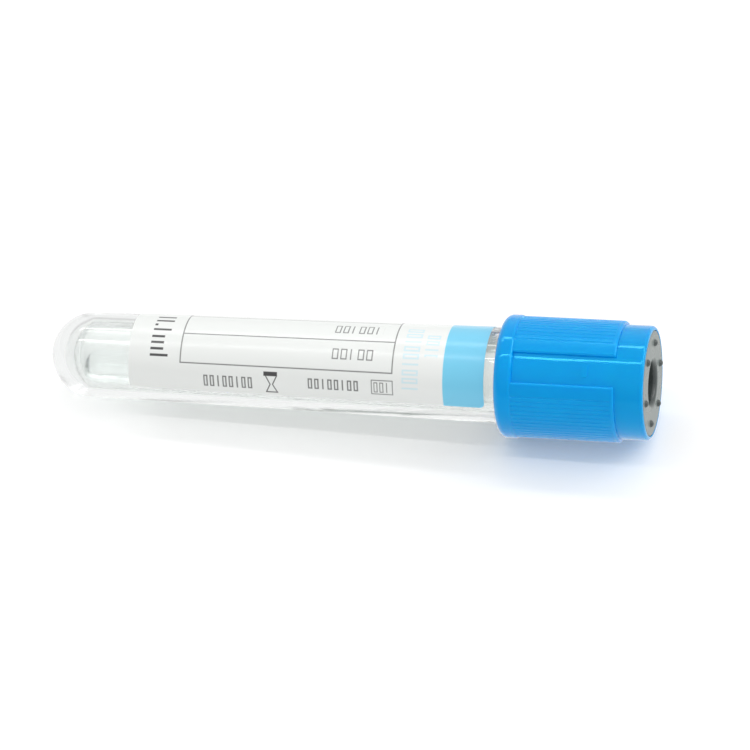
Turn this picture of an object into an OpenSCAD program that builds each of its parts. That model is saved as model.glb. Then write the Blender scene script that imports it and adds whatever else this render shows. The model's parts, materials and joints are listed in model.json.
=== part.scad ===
// Evacuated blood collection tube: a tube inside a tube, a rubber stopper in a
// moulded cap shell, a wrapped label and a little liquid additive.
// Every piece is drawn upright, with the tube's tip at the origin, and is then
// laid down on the surface, where it rests on its round end and its cap's collar.

/* [Tube] */
// Length of the outer tube, from its round tip to its mouth
tube_length = 75; // [60:1:100]
// Outer diameter of the tube at its mouth
mouth_diameter = 13; // [12:0.1:17]
// Diameter of the tube's round end
tip_diameter = 11.5; // [10.6:0.1:13]
// Wall thickness of the outer tube
tube_wall = 0.9; // [0.7:0.05:1.1]
// Extra thickness at the very tip, over the wall
tip_extra = 0.5; // [0:0.1:1]
// Rounding of the rim at the mouth
rim_round = 0.25; // [0.1:0.05:0.4]
// Diameter of the gate mark at the tip
gate_diameter = 1.2; // [0.6:0.1:2]

/* [Inner tube] */
// Wall thickness of the inner tube
inner_wall = 0.75; // [0.5:0.05:0.9]
// Air gap between the two tubes
tube_gap = 0.3; // [0.2:0.05:0.5]
// Height of the inner tube's floor above the outer tip
inner_lift = 3.3; // [2.6:0.1:5]
// Corner radius of the inner tube's blunt floor
floor_round = 3.2; // [2.5:0.1:3.6]
// Wall thickness of the flared collar that the stopper closes, at its low end
flare_wall = 0.72; // [0.5:0.02:0.9]
// How far the collar's straight bore reaches below the stopper's plug
bore_margin = 1; // [0.5:0.1:2]
// Length of the flare below the collar
flare_length = 1.5; // [1:0.1:3]

/* [Additive] */
// Depth of the liquid under its level, measured at the round end
liquid_depth = 2.15; // [1:0.1:4]

/* [Stopper] */
// Length of the plug inside the tube
plug_length = 9; // [6:0.5:12]
// Thickness of the shoulder that sits on the tube's rim
shoulder_height = 2; // [1.5:0.1:3]
// Depth of the neck groove that the shell's ledge fills
neck_height = 1.4; // [1:0.1:2]
// Diameter of the neck between shoulder and head
neck_diameter = 10.6; // [9.6:0.1:11.6]
// Rounding of the plug's low edge
plug_round = 0.8; // [0.4:0.1:1.2]
// Rounding of the shoulder's and the head's edges
head_round = 0.25; // [0.1:0.05:0.4]
// Diameter of the needle well in the top
well_diameter = 5.9; // [4:0.1:6.4]
// Thickness of rubber that the needle pierces, between the well and the hollow
septum = 4.3; // [2.5:0.1:5]
// Rounding of the well's lip
lip_round = 0.6; // [0.3:0.1:1]
// Depth of the hollow under the plug
hollow_depth = 4; // [2:0.5:6]
// Diameter of the hollow under the plug
hollow_diameter = 5; // [3:0.1:6]
// Number of moulded nubs on the top
nub_count = 6; // [3:1:8]
// Diameter of the circle of nubs
nub_circle = 10.7; // [9:0.1:11.5]
// Diameter of one nub
nub_diameter = 1; // [0.6:0.1:1.2]
// Height of one nub over the top
nub_height = 0.42; // [0.2:0.02:0.48]

/* [Cap shell] */
// Length of the shell, from its open end to its crown
cap_length = 20; // [18:0.5:26]
// How far the shell's skirt covers the tube
skirt_overlap = 12.2; // [8:0.1:14]
// Wall thickness of the skirt
skirt_wall = 0.88; // [0.7:0.02:1.2]
// Wall thickness of the crown around the stopper's head
crown_wall = 0.53; // [0.4:0.01:0.8]
// Rounding of the crown's edge
crown_round = 0.45; // [0.2:0.05:0.5]
// How far the collar stands out from the crown
collar_rise = 0.62; // [0.4:0.02:1.2]
// Height of the collar at the open end
collar_height = 2.5; // [2:0.1:4]
// Rounding of the collar's open edge
collar_round = 1.1; // [0.6:0.1:1.1]
// Rounding of the collar's edge towards the panels
collar_back_round = 0.5; // [0.2:0.1:0.6]
// Number of raised grip panels
panel_count = 3; // [2:1:4]
// Width of one panel around the shell, in degrees
panel_span = 90; // [60:1:94]
// How far a panel stands out from the crown
panel_rise = 0.48; // [0.3:0.02:0.6]
// Plain length of crown beyond the panels
crown_length = 3.8; // [2.5:0.1:6]
// Rounding of a panel's edges
panel_round = 0.3; // [0.1:0.05:0.3]
// Number of grooves between the fine ribs of a panel
groove_count = 14; // [6:1:16]
// Width of the ribbed field of a panel, in degrees
rib_span = 62; // [30:1:64]
// Depth of a groove between two ribs
groove_depth = 0.06; // [0.04:0.01:0.2]
// Radius of the round bottom of a groove
groove_round = 0.2; // [0.15:0.01:0.3]
// Plain margin between the ribs and the panel's rounded end
rib_margin = 0.25; // [0.1:0.05:1]
// Height of the small raised mark between two panels
mark_height = 0.12; // [0.06:0.02:0.4]
// Length of that mark around the shell
mark_length = 1.9; // [1.2:0.1:2.6]
// Width of that mark along the shell
mark_width = 0.8; // [0.5:0.1:1.2]

/* [Label] */
// Distance from the tip to the label's near edge
label_from = 12.3; // [8:0.1:20]
// Bare tube between the label's far edge and the cap
label_gap = 1.5; // [0.5:0.1:10]
// Width of the label around the tube
label_width = 19.4; // [12:0.1:30]
// Thickness of the label
label_thickness = 0.09; // [0.05:0.01:0.15]
// Corner radius of the label
label_corner = 0.7; // [0.3:0.1:2]

/* [Turns about the tube's axis] */
// Turn of the label's middle from straight up, in degrees
label_turn = 1; // [-180:1:180]
// Turn of the first gap between panels from straight up, in degrees
cap_turn = 40; // [-180:1:180]
// Turn of the first nub from straight up, in degrees
nub_turn = 20; // [-180:1:180]

/* [Fits] */
// Radial clearance of the plug in the inner tube
plug_clearance = 0.05; // [0.01:0.01:0.1]
// Radial clearance of the skirt around the tube
skirt_clearance = 0.22; // [0.15:0.01:0.4]
// Radial widening of the skirt's open edge
lead_in = 0.12; // [0.05:0.01:0.15]
// Clearance between pieces that are pressed or snapped together
snap_clearance = 0.02; // [0.01:0.01:0.05]

/* [Hidden] */
$fn = 64;

// Turn of a straight line that is tangent to a circle of radius c at its start and
// passes the point (along, aside)
function tangent_turn(along, aside, c) = atan2(aside, along) - asin(c / norm([along, aside]));

// The tube: a round end that runs into a drafted wall
mouth_r = mouth_diameter / 2;
end_r = tip_diameter / 2;
draft = tangent_turn(tube_length - end_r, mouth_r, end_r);
function drafted_r(round_r, centre_z, z) = round_r / cos(draft) + tan(draft) * (z - centre_z);
cavity_end_r = end_r - tube_wall;
cavity_centre = end_r + tip_extra;
function cavity_r(z) = drafted_r(cavity_end_r, cavity_centre, z);

// The inner tube: a blunt floor, a drafted body, a flare and a collar
floor_centre = inner_lift + floor_round;
floor_x = cavity_r(floor_centre) - tube_gap - floor_round / cos(draft);
flare_to = tube_length - plug_length - bore_margin;
flare_from = flare_to - flare_length;
stopper_bore_r = cavity_r(flare_to) - snap_clearance - flare_wall;
function body_r(z) = floor_x + drafted_r(floor_round, floor_centre, z);
function body_bore_r(z) = floor_x + drafted_r(floor_round - inner_wall, floor_centre, z);

// The closure, from the tube's mouth up
skirt_end = tube_length - skirt_overlap;
crown_top = skirt_end + cap_length;
shoulder_top = tube_length + shoulder_height;
neck_top = shoulder_top + neck_height;
skirt_bore_r = mouth_r + skirt_clearance;
crown_r = skirt_bore_r + skirt_wall;
collar_r = crown_r + collar_rise;
panel_r = crown_r + panel_rise;
panel_from = skirt_end + collar_height / 2;
panel_to = crown_top - crown_length;
head_r = crown_r - crown_wall - snap_clearance;
shoulder_r = mouth_r - rim_round;
plug_from = tube_length - plug_length;
plug_r = stopper_bore_r - plug_clearance;
hollow_top = plug_from + hollow_depth;
well_floor = hollow_top + septum;
ledge_r = neck_diameter / 2 + snap_clearance;
mark_z = tube_length;
lead_in_length = 1;

// At rest, one line touches the round end and the rounded edge of the collar
rest_tilt = tangent_turn(skirt_end + collar_round - end_r, collar_r - collar_round, end_r - collar_round);
lowest_x = end_r * (cos(rest_tilt) - 1);
crown_edge_x = (crown_r - crown_round) * sin(rest_tilt) + (crown_top - crown_round) * cos(rest_tilt);
crown_x = crown_edge_x + crown_round;
nub_x = nub_circle / 2 * sin(rest_tilt) + (crown_top + nub_height) * cos(rest_tilt);
rest_x = -(lowest_x + max(crown_x, nub_x)) / 2;
rest_z = end_r * (1 - sin(rest_tilt));

// Small overlap that keeps cuts and joins clean
eps = 0.01;
// Reach of cutting tools past the piece
reach = 2;

// Lays an upright piece on the surface, tip to -X and crown to +X
module lay_down() {
    translate([rest_x, 0, rest_z]) rotate([0, 90 - rest_tilt, 0]) children();
}

// Turns an upright piece so that its +X side faces up when laid down, then towards the front
module face_up(turn) {
    rotate([0, 0, 180 + turn]) children();
}

// Half section of a rod with a drafted side and a rounded end
module drafted_rod(round_r, corner_x, centre_z, top_z) {
    side_x = corner_x + round_r * cos(draft);
    side_z = centre_z - round_r * sin(draft);
    intersection() {
        translate([corner_x, centre_z]) circle(round_r);
        translate([0, centre_z - round_r - eps]) square([side_x + eps, round_r + eps]);
    }
    if (corner_x > 0) translate([0, centre_z - round_r]) square([corner_x, round_r]);
    polygon([[0, side_z], [side_x, side_z],
             [corner_x + drafted_r(round_r, centre_z, top_z), top_z], [0, top_z]]);
}

// Half section of a disc from z0 to z1 with its edges rounded, or left sharp at 0
module rounded_disc(r, z0, z1, low_round, high_round) {
    translate([0, z0 + low_round]) square([r, z1 - z0 - low_round - high_round]);
    if (low_round > 0) {
        translate([0, z0]) square([r - low_round, low_round + eps]);
        translate([r - low_round, z0 + low_round]) circle(low_round);
    }
    if (high_round > 0) {
        translate([0, z1 - high_round - eps]) square([r - high_round, high_round + eps]);
        translate([r - high_round, z1 - high_round]) circle(high_round);
    }
}

// Cutter that rounds the corner of a thin sheet: its round keeps clear of the corner's inside
module corner_cutter(radius, depth) {
    translate([0, 0, -depth / 2]) difference() {
        translate([-radius, -radius, 0]) cube([radius + reach / 4, radius + reach / 4, depth]);
        translate([-radius, -radius, -eps]) cylinder(r = radius, h = depth + 2 * eps);
    }
}

module outer_tube() {
    color([0.9, 0.94, 0.93, 0.35]) lay_down() {
        difference() {
            rotate_extrude() intersection() {
                drafted_rod(end_r, 0, end_r, tube_length);
                rounded_disc(mouth_r, 0, tube_length, rim_round, rim_round);
            }
            rotate_extrude() drafted_rod(cavity_end_r, 0, cavity_centre, tube_length + reach);
        }
        gate_mark();
    }
}

// Trimmed gate at the tip: a low disc sunk into the round end
module gate_mark() {
    gate_r = gate_diameter / 2;
    rise = end_r - sqrt(end_r * end_r - gate_r * gate_r);
    cylinder(r = gate_r, h = rise + tip_extra);
}

module inner_tube() {
    color([0.86, 0.9, 0.9, 0.35]) lay_down() rotate_extrude() difference() {
        union() {
            drafted_rod(floor_round, floor_x, floor_centre, flare_from);
            polygon([[0, flare_from - eps], [body_r(flare_from - eps), flare_from - eps],
                     [cavity_r(flare_to) - snap_clearance, flare_to],
                     [cavity_r(tube_length) - snap_clearance, tube_length], [0, tube_length]]);
        }
        drafted_rod(floor_round - inner_wall, floor_x, floor_centre, flare_from);
        polygon([[0, flare_from - eps], [body_bore_r(flare_from - eps), flare_from - eps],
                 [stopper_bore_r, flare_to], [stopper_bore_r, tube_length + reach],
                 [0, tube_length + reach]]);
    }
}

// The liquid fills the low side of the inner tube, up to a level surface
module additive_liquid() {
    pool_r = floor_round - inner_wall - snap_clearance;
    pool_floor_z = rest_z + end_r * sin(rest_tilt) - body_bore_r(floor_centre);
    color([0.85, 0.92, 0.92, 0.5]) intersection() {
        lay_down() rotate_extrude() drafted_rod(pool_r, floor_x, floor_centre, flare_to);
        translate([-tube_length, -mouth_r, 0])
            cube([2 * tube_length, 2 * mouth_r, pool_floor_z + liquid_depth]);
    }
}

module label() {
    inner = snap_clearance;
    outer = snap_clearance + label_thickness;
    label_to = skirt_end - label_gap;
    mean_r = drafted_r(end_r, end_r, (label_from + label_to) / 2);
    half_span = label_width / mean_r * 90 / PI;
    color("whitesmoke") lay_down() face_up(label_turn) difference() {
        rotate([0, 0, -half_span]) rotate_extrude(angle = 2 * half_span)
            polygon([for (edge = [[inner, label_from], [outer, label_from],
                                  [outer, label_to], [inner, label_to]])
                     [drafted_r(end_r, end_r, edge[1]) + edge[0], edge[1]]]);
        for (side = [-1, 1]) for (end = [-1, 1])
            rotate([0, 0, side * half_span]) translate([mean_r, 0, end > 0 ? label_to : label_from])
                rotate([0, 90, 0]) scale([-end, side, 1]) corner_cutter(label_corner, 2 * reach);
    }
}

module stopper() {
    well_r = well_diameter / 2;
    color([0.25, 0.28, 0.3]) lay_down() {
        difference() {
            rotate_extrude() union() {
                rounded_disc(plug_r, plug_from, tube_length + eps, plug_round, 0);
                rounded_disc(shoulder_r, tube_length, shoulder_top, head_round, head_round);
                rounded_disc(neck_diameter / 2, shoulder_top - eps, neck_top + eps, 0, 0);
                rounded_disc(head_r, neck_top, crown_top, head_round, head_round);
            }
            rotate_extrude() needle_well(well_r);
            rotate_extrude() plug_hollow();
        }
        face_up(nub_turn) for (i = [0 : nub_count - 1])
            rotate([0, 0, i * 360 / nub_count]) translate([nub_circle / 2, 0, 0]) nub();
    }
}

// Half section of the well that guides the needle, with a rounded lip and a rounded floor
module needle_well(r) {
    rounded_disc(r, well_floor, crown_top + reach, r / 3, 0);
    difference() {
        translate([0, crown_top - lip_round]) square([r + lip_round, lip_round + reach]);
        translate([r + lip_round, crown_top - lip_round]) circle(lip_round);
    }
}

// Half section of the hollow under the plug, which lets the needle reach the blood
module plug_hollow() {
    mouth = hollow_diameter / 2 + plug_round / 2;
    polygon([[0, plug_from - reach], [mouth, plug_from - reach], [mouth, plug_from],
             [hollow_diameter / 2, plug_from + plug_round],
             [hollow_diameter / 3, hollow_top], [0, hollow_top]]);
}

// A nub is the cap of a ball
module nub() {
    ball_r = nub_diameter / 2;
    translate([0, 0, crown_top + nub_height - ball_r]) sphere(ball_r);
}

module cap_shell() {
    color([0, 0.52, 0.92]) lay_down() difference() {
        union() {
            rotate_extrude() union() {
                rounded_disc(crown_r, skirt_end + collar_round, crown_top, 0, crown_round);
                rounded_disc(collar_r, skirt_end, skirt_end + collar_height,
                             collar_round, collar_back_round);
            }
            face_up(cap_turn) for (i = [0 : panel_count - 1]) {
                rotate([0, 0, (i + 0.5) * 360 / panel_count]) grip_panel();
                rotate([0, 0, i * 360 / panel_count]) gap_mark();
            }
        }
        rotate_extrude() shell_bore();
    }
}

// Half section of the shell's inside: lead-in, skirt, ledge and the seat of the stopper's head
module shell_bore() {
    polygon([[0, skirt_end - reach], [skirt_bore_r + lead_in, skirt_end - reach],
             [skirt_bore_r + lead_in, skirt_end], [skirt_bore_r, skirt_end + lead_in_length],
             [skirt_bore_r, shoulder_top + snap_clearance], [ledge_r, shoulder_top + snap_clearance],
             [ledge_r, neck_top - snap_clearance], [head_r + snap_clearance, neck_top - snap_clearance],
             [head_r + snap_clearance, crown_top + reach], [0, crown_top + reach]]);
}

// One raised panel: rounded edges, plain borders and a field of fine ribs
module grip_panel() {
    groove_to = panel_to - panel_round - rib_margin;
    difference() {
        intersection() {
            translate([0, 0, panel_from]) linear_extrude(panel_to - panel_from) panel_section();
            rotate_extrude() rounded_disc(panel_r, panel_from - reach, panel_to, 0, panel_round);
        }
        translate([0, 0, panel_from - eps]) linear_extrude(groove_to - panel_from)
            for (i = [0 : groove_count - 1])
                rotate(-rib_span / 2 + i * rib_span / (groove_count - 1)) groove();
    }
}

// Section of a panel, from inside the shell's wall to its two rounded corners
module panel_section() {
    half = panel_span / 2;
    edge_turn = panel_round / panel_r * 180 / PI;
    difference() {
        union() {
            intersection() { circle(panel_r); sector(half - edge_turn); }
            intersection() { circle(panel_r - panel_round); sector(half); }
            for (side = [-1, 1]) rotate(side * (half - edge_turn))
                translate([panel_r - panel_round, 0]) circle(panel_round);
        }
        circle(skirt_bore_r + skirt_wall / 2);
    }
}

// Section of one groove, a shallow arc
module groove() {
    translate([panel_r - groove_depth + groove_round, 0]) circle(groove_round);
}

// Pie slice about the X axis
module sector(half) {
    far = 2 * panel_r;
    polygon([[0, 0], [far * cos(half), -far * sin(half)], [far, -far * tan(half / 2)],
             [far, far * tan(half / 2)], [far * cos(half), far * sin(half)]]);
}

// Small raised mark between two panels, level with the tube's mouth
module gap_mark() {
    round_r = mark_width / 2;
    straight = mark_length - mark_width;
    intersection() {
        rotate_extrude() translate([crown_r - crown_wall / 2, mark_z - mark_width])
            square([crown_wall / 2 + mark_height, 2 * mark_width]);
        translate([0, 0, mark_z]) rotate([0, 90, 0]) linear_extrude(panel_r + reach) {
            translate([-round_r, -straight / 2]) square([mark_width, straight]);
            for (side = [-1, 1]) translate([0, side * straight / 2]) circle(round_r);
        }
    }
}

outer_tube();
inner_tube();
additive_liquid();
label();
stopper();
cap_shell();
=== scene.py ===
# Blood collection tube with a blue closure: a clear outer tube, an inner
# tube, a little liquid additive, a wrapped label, a rubber stopper and its cap shell.
# Sizes are in millimetres in the tube's own upright frame: tip at the origin, z up.
import json
from math import asin, atan2, cos, degrees, hypot, pi, radians, sin, sqrt, tan

import bpy
from mathutils import Euler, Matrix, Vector


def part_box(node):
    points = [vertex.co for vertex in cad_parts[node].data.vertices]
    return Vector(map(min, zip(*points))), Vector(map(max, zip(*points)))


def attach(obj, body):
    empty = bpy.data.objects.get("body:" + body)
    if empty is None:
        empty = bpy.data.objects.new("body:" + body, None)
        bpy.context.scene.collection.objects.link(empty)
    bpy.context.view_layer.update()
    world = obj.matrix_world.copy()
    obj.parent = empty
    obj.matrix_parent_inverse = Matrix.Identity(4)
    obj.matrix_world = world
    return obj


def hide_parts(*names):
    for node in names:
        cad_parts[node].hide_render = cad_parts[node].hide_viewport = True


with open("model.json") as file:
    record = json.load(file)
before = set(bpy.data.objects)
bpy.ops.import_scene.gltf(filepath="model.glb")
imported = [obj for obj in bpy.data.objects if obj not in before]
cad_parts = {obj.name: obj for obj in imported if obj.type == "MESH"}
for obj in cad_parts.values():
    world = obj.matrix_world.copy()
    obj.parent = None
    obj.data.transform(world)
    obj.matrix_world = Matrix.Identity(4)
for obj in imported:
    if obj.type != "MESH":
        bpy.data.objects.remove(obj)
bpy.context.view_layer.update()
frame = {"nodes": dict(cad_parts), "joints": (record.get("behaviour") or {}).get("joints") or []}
bpy.ops.object.select_all(action="DESELECT")

# ---------------------------------------------------------------- the camera
# It looks down on the front of the tube, from a little beyond the cap, through a
# long lens, so that the tube's sides stay almost parallel. Light has to pass many walls
# of clear plastic, so it may bounce more often than usual.
bpy.ops.object.camera_add(
    location=(0.12592, -0.43257, 0.38853),
    rotation=(radians(49.5015), radians(4.2265), radians(12.2341)),
)
camera = bpy.context.object
camera.name = "camera"
camera.data.lens = 211.2
camera.data.sensor_width = 36
bpy.context.scene.camera = camera
bpy.context.scene.view_settings.view_transform = "Standard"
cycles = bpy.context.scene.cycles
cycles.max_bounces = cycles.transmission_bounces = cycles.glossy_bounces = 64
cycles.transparent_max_bounces = 32
cycles.blur_glossy = 0


# ------------------------------------------------- the floor, world and lamps
# A pale seamless floor in a white studio, whose walls are a little greyer than its
# ceiling. Two long strip lamps over the tube give the narrow gleams along the cap, and
# a soft lamp beyond the cap lights the stopper's face.
class Wire:
    """A socket of a node tree: arithmetic on it adds Math nodes to the tree."""

    def __init__(self, tree, socket=None):
        self.tree, self.socket = tree, socket

    def node(self, kind, settings=None, inputs=None, output=0):
        """Adds a node, sets it up, and gives its sockets their values or links."""
        made = self.tree.nodes.new("ShaderNode" + kind)
        for name, value in (settings or {}).items():
            if name == "stops":
                stops = made.color_ramp.elements
                while len(stops) < len(value):
                    stops.new(1)
                for stop, (place, colour) in zip(stops, value):
                    stop.position, stop.color = place, colour
            else:
                setattr(made, name, value)
        for name, value in (inputs or {}).items():
            if isinstance(value, Wire):
                self.tree.links.new(value.socket, made.inputs[name])
            else:
                made.inputs[name].default_value = value
        return Wire(self.tree, made.outputs[output])

    def maths(self, operation, *others, clamp=False):
        settings = {"operation": operation, "use_clamp": clamp}
        return self.node("Math", settings, dict(enumerate((self, *others))))

    def __add__(self, other):
        return self.maths("ADD", other)

    def __sub__(self, other):
        return self.maths("SUBTRACT", other)

    def __rsub__(self, other):
        return self.maths("MULTIPLY_ADD", -1, other)

    def __mul__(self, other):
        return self.maths("MULTIPLY", other)

    def __truediv__(self, other):
        return self.maths("DIVIDE", other)

    __radd__ = __add__
    __rmul__ = __mul__

    def largest(self, other):
        return self.maths("MAXIMUM", other)

    def ramp(self, low, high):
        """0 at low and 1 at high, which may be the smaller number."""
        return self.maths("MULTIPLY_ADD", 1 / (high - low), -low / (high - low), clamp=True)

    def tint(self, first, second):
        """The first colour where this is 0 and the second where it is 1."""
        settings = {"data_type": "RGBA"}
        return self.node("Mix", settings, {"Factor": self, 6: first, 7: second}, output=2)


def light_path(tree, *rays):
    """1 for any of these kinds of ray."""
    paths = Wire(tree).node("LightPath").socket.node.outputs
    wires = [Wire(tree, paths[f"Is {ray} Ray"]) for ray in rays]
    while len(wires) > 1:
        wires.append(wires.pop(0).largest(wires.pop(0)))
    return wires[0]


studio_light = 0.68
wall_light = 0.7
floor_glow = 0.15

world = bpy.data.worlds.new("white studio")
bpy.context.scene.world = world
world.use_nodes = True
sky = world.node_tree.nodes["Background"]
sky.inputs["Color"].default_value = (1, 1, 1, 1)
tree = world.node_tree
direction = Wire(tree).node("TexCoord", output="Generated")
upward = direction.node("SeparateXYZ", None, {"Vector": direction}, output=2)
walls = upward.ramp(0.1, 0.7) * (1 - wall_light) + wall_light
reflected = light_path(tree, "Glossy", "Transmission") * walls
seen = light_path(tree, "Camera").largest(reflected)
paths = Wire(tree).node("LightPath").socket.node.outputs
seen = seen * Wire(tree, paths["Diffuse Depth"]).ramp(1, 0)
strength = seen.largest(studio_light)
tree.links.new(strength.socket, sky.inputs["Strength"])

bpy.ops.mesh.primitive_plane_add(size=4)
floor = bpy.context.object
floor.name = "floor"
floor_paint = bpy.data.materials.new("pale floor")
floor_paint.use_nodes = True
tree = floor_paint.node_tree
floor_shader = tree.nodes["Principled BSDF"]
floor_shader.inputs["Base Color"].default_value = (0.9, 0.9, 0.9, 1)
floor_shader.inputs["Roughness"].default_value = 0.9
floor_shader.inputs["Specular IOR Level"].default_value = 0
floor_shader.inputs["Emission Strength"].default_value = 1
white_glow = (floor_glow, floor_glow, floor_glow, 1)
glow = light_path(tree, "Camera").tint((0, 0, 0, 1), white_glow)
tree.links.new(glow.socket, floor_shader.inputs["Emission Color"])
white_floor = Wire(tree).node("Emission", None, {"Color": (1, 1, 1, 1), "Strength": 0.97})
shown = light_path(tree, "Glossy", "Transmission")
lit_floor = Wire(tree, floor_shader.outputs[0])
floor_look = shown.node("MixShader", None, {0: shown, 1: lit_floor, 2: white_floor})
tree.links.new(floor_look.socket, tree.nodes["Material Output"].inputs["Surface"])
floor.data.materials.append(floor_paint)


def lamp(name, place, length, width, watts):
    """A rectangular lamp that faces the middle of the tube."""
    toward = Vector((0.01, 0, 0)) - Vector(place)
    bpy.ops.object.light_add(
        type="AREA", location=place, rotation=toward.to_track_quat("-Z", "Y").to_euler()
    )
    made = bpy.context.object
    made.name = name
    made.data.shape = "RECTANGLE"
    made.data.size, made.data.size_y = length, width
    made.data.energy = watts


lamp("side lamp", (0.46, 0.1, 0.36), 0.35, 0.3, 0.9)
lamp("front strip", (0.01, -0.106, 0.59), 0.9, 0.026, 0.58)
lamp("back strip", (0.01, 0.258, 0.542), 0.9, 0.05, 0.68)

# -------------------------------------------------------------- the outer tube
# Injection-moulded clear polyester, round at the low end and drafted all along, with
# the trimmed gate at the tip. It is turned from its half section.
mm = 0.001
tube_length, mouth_r, end_r = 75.0, 6.5, 5.75
tube_wall, tip_extra, rim_round, lip_round = 0.9, 0.5, 0.25, 0.1
gate_r, gate_round = 0.6, 0.06
turn_steps, dome_steps = 144, 36


def tangent_turn(along, aside, circle_r):
    return atan2(aside, along) - asin(circle_r / hypot(along, aside))


def arc(r, z, radius, start, end, steps=8):
    """Points on a round of a half section, from one angle to another."""
    angles = [radians(start + (end - start) * i / steps) for i in range(steps + 1)]
    return [(r + radius * cos(a), z + radius * sin(a)) for a in angles]


draft = tangent_turn(tube_length - end_r, mouth_r, end_r)
cavity_end_r, cavity_centre = end_r - tube_wall, end_r + tip_extra


def drafted_r(round_r, centre_z, z):
    return round_r / cos(draft) + tan(draft) * (z - centre_z)


def outer_r(z):
    return drafted_r(end_r, end_r, z)


def cavity_r(z):
    return drafted_r(cavity_end_r, cavity_centre, z)


pull_axis = Vector(frame["joints"][0]["axis"])
rest_tilt = atan2(pull_axis.z, pull_axis.x)
tip_place = Vector((
    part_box("outer_tube")[0].x / mm + gate_r * sin(rest_tilt),
    0,
    end_r * (1 - sin(rest_tilt)),
))
laid = Euler((0, pi / 2 - rest_tilt, 0))


def draw_line(name, points):
    """An open line of edges in the plane of y = 0, drawn by extruding one vertex."""
    bpy.ops.object.select_all(action="DESELECT")
    bpy.ops.mesh.primitive_circle_add(vertices=3, radius=mm)
    line = bpy.context.object
    line.name = name
    bpy.ops.object.mode_set(mode="EDIT")
    bpy.ops.mesh.select_all(action="SELECT")
    bpy.ops.mesh.merge(type="CENTER")
    here = Vector((0, 0, 0))
    for i, (r, z) in enumerate(points):
        step = Vector((r, 0, z)) * mm - here
        here += step
        if i == 0:
            bpy.ops.transform.translate(value=step)
        else:
            bpy.ops.mesh.extrude_region_move(TRANSFORM_OT_translate={"value": step})
    bpy.ops.object.mode_set(mode="OBJECT")
    return line


def tidy_faces():
    """Merges what meets and turns all faces outwards, in edit mode."""
    bpy.ops.mesh.select_all(action="SELECT")
    bpy.ops.mesh.remove_doubles(threshold=mm / 2000)
    bpy.ops.mesh.normals_make_consistent(inside=False)


def turn_up(name, section):
    """A closed piece of revolution, spun from its half section."""
    piece = draw_line(name, section)
    bpy.ops.object.mode_set(mode="EDIT")
    bpy.ops.mesh.select_all(action="SELECT")
    bpy.ops.mesh.spin(steps=turn_steps, angle=2 * pi, center=(0, 0, 0), axis=(0, 0, 1))
    tidy_faces()
    bpy.ops.object.mode_set(mode="OBJECT")
    return piece


def only(piece):
    bpy.ops.object.select_all(action="DESELECT")
    piece.select_set(True)
    bpy.context.view_layer.objects.active = piece


def lay_down(piece):
    """Lays an upright piece on the floor, with its place in its mesh."""
    only(piece)
    piece.rotation_euler = laid
    piece.location = tip_place * mm
    bpy.ops.object.transform_apply(location=True, rotation=True, scale=True)


def soften(piece, angle=35):
    """Shades a piece smooth, apart from edges sharper than the angle."""
    only(piece)
    bpy.ops.object.shade_smooth_by_angle(angle=radians(angle))


def paint(piece, name, **plain):
    """A new material of the piece, with its plain values; returns its shader's inputs
    and a wire that holds the upright frame's coordinates in millimetres."""
    made = bpy.data.materials.new(name)
    made.use_nodes = True
    tree = made.node_tree
    shader = tree.nodes["Principled BSDF"]
    for socket, value in plain.items():
        shader.inputs[socket.replace("_", " ")].default_value = value
    piece.data.materials.clear()
    piece.data.materials.append(made)
    point = Wire(tree).node("TexCoord", output="Object")
    place = {"Location": tip_place * mm, "Rotation": laid, "Scale": (mm, mm, mm)}
    upright = point.node("Mapping", {"vector_type": "TEXTURE"}, {"Vector": point, **place})
    return shader.inputs, upright


def feed(inputs, **wires):
    """Links what changes over a surface to the shader."""
    for socket, wire in wires.items():
        wire.tree.links.new(wire.socket, inputs[socket.replace("_", " ")])


def let_lamps_through(piece, share):
    """Lets a share of a lamp's light straight through clear plastic."""
    tree = piece.data.materials[0].node_tree
    shadow = light_path(tree, "Shadow")
    plastic = Wire(tree, tree.nodes["Principled BSDF"].outputs[0])
    passed = Wire(tree).node("BsdfTransparent", None, {"Color": (share, share, share, 1)})
    mixed = plastic.node("MixShader", None, {0: shadow, 1: plastic, 2: passed})
    tree.links.new(mixed.socket, tree.nodes["Material Output"].inputs["Surface"])


def noise(upright, size, along=1, detail=2):
    """Noise with features of a size in millimetres, drawn out along the tube."""
    scale = (1 / size, 1 / size, 1 / size / along)
    spread = upright.node("Mapping", None, {"Vector": upright, "Scale": scale})
    return spread.node("TexNoise", None, {"Vector": spread, "Scale": 1.0, "Detail": detail})


def bump(height, depth):
    """The normal of a surface that a height from 0 to 1 raises by a depth in mm."""
    inputs = {"Height": height, "Strength": 1.0, "Distance": depth * mm}
    return height.node("Bump", None, inputs)


outer_section = [(0, 0)] + arc(gate_r - gate_round, gate_round, gate_round, -90, 0, 3)
dome_from = -degrees(atan2(sqrt(end_r ** 2 - gate_r ** 2), gate_r)) + 1
outer_section += arc(0, end_r, end_r, dome_from, -degrees(draft), dome_steps)
outer_section += arc(mouth_r - rim_round, tube_length - rim_round, rim_round, 0, 90, 6)
outer_section += arc(
    cavity_r(tube_length) + lip_round, tube_length - lip_round, lip_round, 90, 180, 4
)
outer_section += arc(0, cavity_centre, cavity_end_r, -degrees(draft), -90, dome_steps)
outer_tube = turn_up("clear_outer_tube", outer_section)
lay_down(outer_tube)
soften(outer_tube)
inputs, upright = paint(
    outer_tube, "clear polyester",
    Base_Color=(0.93, 0.945, 0.938, 1), Transmission_Weight=1.0, IOR=1.57,
)
smudges = noise(upright, 5)
flow = noise(upright, 1.2, along=14)
feed(inputs, Roughness=smudges.ramp(0.35, 0.8) * 0.04 + 0.015, Normal=bump(flow, 0.0006))
let_lamps_through(outer_tube, 0.91)
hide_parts("outer_tube")
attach(outer_tube, "tube")

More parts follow.
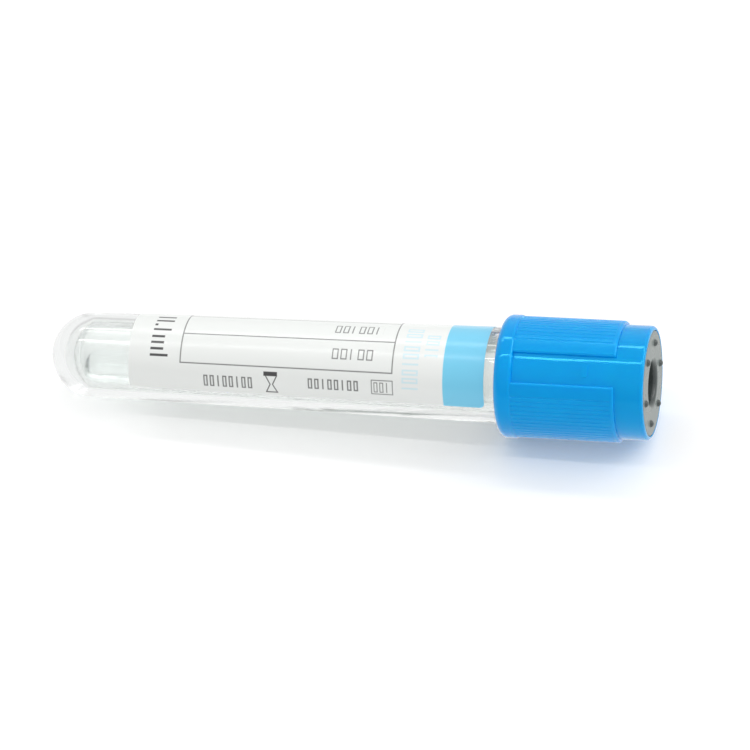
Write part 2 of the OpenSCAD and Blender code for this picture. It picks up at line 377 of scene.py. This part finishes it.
# -------------------------------------------------------------- the inner tube
# Moulded polypropylene, a little hazy, with a blunt floor. Its mouth flares out to a
# collar that fills the outer tube's bore and that the stopper plugs.
inner_wall, tube_gap, inner_lift = 0.75, 0.3, 3.3
floor_round, mouth_round, floor_steps = 3.2, 0.15, 24
flare_wall, bore_margin, flare_length, snap = 0.72, 1.0, 1.5, 0.02
plug_length = 9.0
floor_centre = inner_lift + floor_round
floor_x = cavity_r(floor_centre) - tube_gap - floor_round / cos(draft)
flare_to = tube_length - plug_length - bore_margin
flare_from = flare_to - flare_length
stopper_bore_r = cavity_r(flare_to) - snap - flare_wall
bore_round = floor_round - inner_wall


def inner_r(z):
    return floor_x + drafted_r(floor_round, floor_centre, z)


def inner_bore_r(z):
    return floor_x + drafted_r(bore_round, floor_centre, z)


inner_section = [(0, inner_lift)]
inner_section += arc(floor_x, floor_centre, floor_round, -90, -degrees(draft), floor_steps)
inner_section += [(inner_r(flare_from), flare_from), (cavity_r(flare_to) - snap, flare_to)]
inner_section += arc(
    cavity_r(tube_length) - snap - lip_round, tube_length - lip_round, lip_round, 0, 90, 3
)
inner_section += arc(
    stopper_bore_r + mouth_round, tube_length - mouth_round, mouth_round, 90, 180, 3
)
inner_section += [(stopper_bore_r, flare_to), (inner_bore_r(flare_from), flare_from)]
inner_section += arc(floor_x, floor_centre, bore_round, -degrees(draft), -90, floor_steps)
inner_section += [(0, inner_lift + inner_wall)]
inner_tube = turn_up("hazy_inner_tube", inner_section)
lay_down(inner_tube)
soften(inner_tube)
inputs, upright = paint(
    inner_tube, "hazy polypropylene",
    Base_Color=(0.975, 0.985, 0.98, 1), Transmission_Weight=0.96, IOR=1.49,
)
haze = noise(upright, 3)
flow = noise(upright, 0.9, along=10)
feed(inputs, Roughness=haze.ramp(0.3, 0.8) * 0.06 + 0.08, Normal=bump(flow, 0.0004))
let_lamps_through(inner_tube, 0.91)
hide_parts("inner_tube")
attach(inner_tube, "tube")

# ------------------------------------------------------- the additive's liquid
# A watery additive lies along the low side of the inner tube. It fills the bore up to
# its level, so it is turned like the tube and then cut off level. A ring for each
# millimetre keeps the edge of the cut even.
liquid_depth = 2.15
ring_places = range(8, 64)
pool_bottom = tip_place.z + end_r * sin(rest_tilt) - inner_bore_r(floor_centre)
pool_level = pool_bottom + liquid_depth
pool_r = bore_round - snap
pool_section = [(0, floor_centre - pool_r)]
pool_section += arc(floor_x, floor_centre, pool_r, -90, -degrees(draft), floor_steps)
pool_section += [(floor_x + drafted_r(pool_r, floor_centre, z), z) for z in ring_places]
pool_section += [(inner_bore_r(flare_from) - snap, flare_from), (0, flare_from)]
liquid = turn_up("additive", pool_section)
lay_down(liquid)
bpy.ops.object.mode_set(mode="EDIT")
bpy.ops.mesh.select_all(action="SELECT")
bpy.ops.mesh.bisect(plane_co=(0, 0, pool_level * mm), plane_no=(0, 0, 1), clear_outer=True)
bpy.ops.mesh.select_all(action="DESELECT")
bpy.ops.mesh.select_non_manifold()
bpy.ops.mesh.edge_face_add()
bpy.ops.object.mode_set(mode="OBJECT")
soften(liquid)
inputs, upright = paint(
    liquid, "watery additive",
    Base_Color=(0.98, 0.995, 0.995, 1), Transmission_Weight=1.0, IOR=1.34,
)
ripple = noise(upright, 6)
feed(inputs, Roughness=ripple * 0.01, Normal=bump(ripple, 0.0005))
let_lamps_through(liquid, 0.97)
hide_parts("additive_liquid")
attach(liquid, "tube")

# ------------------------------------------------------------------- the label
# Satin white film, die-cut with small round corners and wrapped almost half-way round
# the tube. Its print is a ruled panel, small marks, and a pale blue band.
label_from, label_to, label_width = 12.3, 61.3, 19.4
label_thickness, label_corner, label_turn = 0.09, 0.7, 1.0
strips = 72
label_r = outer_r((label_from + label_to) / 2)
bpy.ops.object.select_all(action="DESELECT")
bpy.ops.mesh.primitive_plane_add(size=mm)
label = bpy.context.object
label.name = "printed_label"
bpy.ops.object.mode_set(mode="EDIT")
bpy.ops.transform.resize(value=(label_to - label_from, label_width, 1))
bpy.ops.mesh.bevel(offset=label_corner * mm, segments=8, affect="VERTICES")
for i in range(1, strips):
    across = (i / strips - 0.5) * label_width * mm
    bpy.ops.mesh.select_all(action="SELECT")
    bpy.ops.mesh.bisect(plane_co=(0, across, 0), plane_no=(0, 1, 0))
bpy.ops.object.mode_set(mode="OBJECT")
for vertex in label.data.vertices:
    along = (label_from + label_to) / 2 + vertex.co.x / mm
    around = radians(180 + label_turn) + vertex.co.y / mm / label_r
    lift = outer_r(along) + snap
    vertex.co = Vector((lift * cos(around), lift * sin(around), along)) * mm
thicken = label.modifiers.new("film", "SOLIDIFY")
thicken.thickness = label_thickness * mm
thicken.offset = -1
only(label)
bpy.ops.object.modifier_apply(modifier=thicken.name)
bpy.ops.object.mode_set(mode="EDIT")
tidy_faces()
bpy.ops.object.mode_set(mode="OBJECT")
lay_down(label)
soften(label)


def coordinates(upright):
    """The three coordinates of a place, as wires."""
    parts = upright.node("SeparateXYZ", None, {"Vector": upright}).socket.node.outputs
    return [Wire(upright.tree, parts[axis]) for axis in "XYZ"]


def off_axis(downward, toward_back):
    """How far a place lies from the tube's axis."""
    return (downward * downward + toward_back * toward_back).maths("SQRT")


inputs, upright = paint(
    label, "printed film", IOR=1.5, Coat_Weight=1.0, Coat_Roughness=0.22
)
downward, toward_back, along = coordinates(upright)
around = (toward_back * -1).maths("ARCTAN2", downward * -1) * label_r
height = off_axis(downward, toward_back) - along * tan(draft) - (outer_r(0) + snap)
outer_face = height.ramp(0.3 * label_thickness, 0.7 * label_thickness)
ink_edge = 0.04


def between(value, low, high, edge=ink_edge):
    """1 from low to high, with the soft edges of ink."""
    return value.ramp(low - edge, low + edge) * value.ramp(high + edge, high - edge)


def block(from_along, to_along, from_around, to_around):
    """A solid field of ink, placed along the tube and, from its top, round its front."""
    return between(along, from_along, to_along) * between(around, from_around, to_around)


def frame_line(from_along, to_along, from_around, to_around, rule):
    """The outline of such a field."""
    inner = block(from_along + rule, to_along - rule, from_around + rule, to_around - rule)
    return block(from_along, to_along, from_around, to_around) * (1 - inner)


def small_boxes(run, rise, start, end, low, high, pitch, gap, stroke):
    """A row of small open boxes where fine print would be; every third is only a bar."""
    place = (run - start).maths("MODULO", pitch)
    number = ((run - start) / pitch).maths("FLOOR").maths("MODULO", 3)
    row = between(run, start, end) * between(rise, low, high)
    hole = between(place, stroke, pitch - gap - stroke)
    hole = hole * between(rise, low + stroke, high - stroke)
    open_box = between(place, 0, pitch - gap) * (1 - hole)
    bar = between(place, stroke, stroke * 2)
    is_bar = number.ramp(1.4, 1.6)
    return row * (open_box * (1 - is_bar) + bar * is_bar)


def every(marks):
    """All of a list of printed marks together."""
    together = marks[0]
    for mark in marks[1:]:
        together = together.largest(mark)
    return together


rule = 0.17
panel_from, panel_to, panel_low, row_height = 19.5, 48.95, 5.76, 4.2
rows = [panel_low - i * row_height for i in range(4)]
ruled_lines = [block(panel_from, panel_to, row - rule, row) for row in rows]
for side in (panel_from + rule, panel_to):
    ruled_lines.append(block(side - rule, side, rows[3], rows[0]))
fine_print = every(
    ruled_lines + [
        small_boxes(along, around, 40.5, 46.4, 2.75, 4.2, 1.18, 0.3, 0.16),
        small_boxes(along, around, 40.3, 46.9, -1.35, 0.25, 1.1, 0.3, 0.16),
        small_boxes(along, around, 46.35, 48.7, 6.95, 8.35, 0.8, 0.25, 0.13),
        frame_line(46.0, 49.0, 6.62, 8.64, 0.13),
    ]
)
small_print = every([
    small_boxes(along, around, 22.8, 29.8, 7.2, 8.85, 0.88, 0.28, 0.19),
    small_boxes(along, around, 37.3, 44.5, 6.9, 8.35, 0.9, 0.28, 0.19),
])
waist = (around - 8.05).maths("ABSOLUTE") * 0.5 + 0.25
glass_side = (along - 32.25).maths("ABSOLUTE")
hourglass = between(glass_side - waist, -0.16, 0, 0.05) * between(around, 6.8, 9.3)
hourglass = hourglass.largest(block(31.4, 33.1, 9.15, 9.32))
bold_marks = every([
    hourglass,
    block(31.2, 33.1, 6.3, 6.9),
    block(15.3, 17.8, 4.65, 5.0),
    block(15.3, 17.1, 3.75, 4.1),
    block(15.3, 17.1, 2.85, 3.2),
    block(15.3, 17.1, 1.95, 2.3),
    block(15.3, 17.8, 0.8, 1.15),
    block(15.3, 15.7, -0.15, 0.25),
    block(15.3, 17.8, -1.0, -0.65),
    block(15.3, 17.8, -2.0, -1.65),
])
pale_marks = every([
    small_boxes(around, along, -1.2, 8.0, 50.2, 52.4, 1.05, 0.3, 0.24),
    small_boxes(around, along, 0, 3.35, 53.1, 54.9, 1.0, 0.3, 0.24),
])
band_from = 55.75
band = block(band_from, label_to + 1, -label_width, label_width)
white, dark = (0.88, 0.902, 0.882, 1), (0.03, 0.03, 0.032, 1)
pale, band_blue = (0.55, 0.82, 0.92, 1), (0.16, 0.63, 0.89, 1)
colour = (pale_marks * 0.6).tint(white, pale)
colour = band.tint(colour, band_blue)
colour = (fine_print * 0.8).tint(colour, dark)
colour = (small_print * 0.85).tint(colour, dark)
colour = bold_marks.tint(colour, dark)
colour = outer_face.tint(white, colour)
grain = noise(upright, 0.15)
sheen = noise(upright, 4)
feed(inputs, Base_Color=colour, Roughness=sheen * 0.1 + 0.33, Normal=bump(grain, 0.003))
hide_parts("label")
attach(label, "tube")

# ----------------------------------------------------------------- the stopper
# Dark grey butyl rubber, moulded in one with its needle well and six small nubs that
# keep stacked stoppers apart. Its head is snapped into the cap shell.
stopper = frame["nodes"]["stopper"]
inputs, upright = paint(
    stopper, "butyl rubber", IOR=1.5, Sheen_Weight=0.3, Sheen_Tint=(0.86, 1, 0.93, 1)
)
grain = noise(upright, 0.12)
patches = noise(upright, 2.5)
colour = patches.ramp(0.3, 0.7).tint((0.048, 0.06, 0.06, 1), (0.064, 0.076, 0.076, 1))
feed(inputs, Base_Color=colour, Roughness=patches * 0.12 + 0.22, Normal=bump(grain, 0.002))

# --------------------------------------------------------------- the cap shell
# Blue polyethylene, injection moulded round the stopper's head: a rounded collar at
# the open end, three ribbed grip panels, and a plain crown. The panels are duller.
skin_r, panel_r, panels_from = 7.8, 7.95, 65.2
cap_shell = frame["nodes"]["cap_shell"]
inputs, upright = paint(
    cap_shell, "blue polyethylene", IOR=1.5, Specular_IOR_Level=0.8,
    Specular_Tint=(0.14, 0.9, 1, 1),
    Subsurface_Weight=0.5, Subsurface_Radius=(0.25, 0.7, 1.2), Subsurface_Scale=mm,
)
downward, toward_back, along = coordinates(upright)
on_panel = off_axis(downward, toward_back).ramp(skin_r, panel_r)
on_panel = on_panel * along.ramp(panels_from, panels_from + 0.3)
grain = noise(upright, 0.2)
patches = noise(upright, 4)
colour = patches.ramp(0.3, 0.7).tint((0.0, 0.325, 0.79, 1), (0.0, 0.345, 0.82, 1))
roughness = patches * 0.03 + 0.06 + on_panel * 0.15
feed(inputs, Base_Color=colour, Roughness=roughness, Normal=bump(grain, 0.0005))
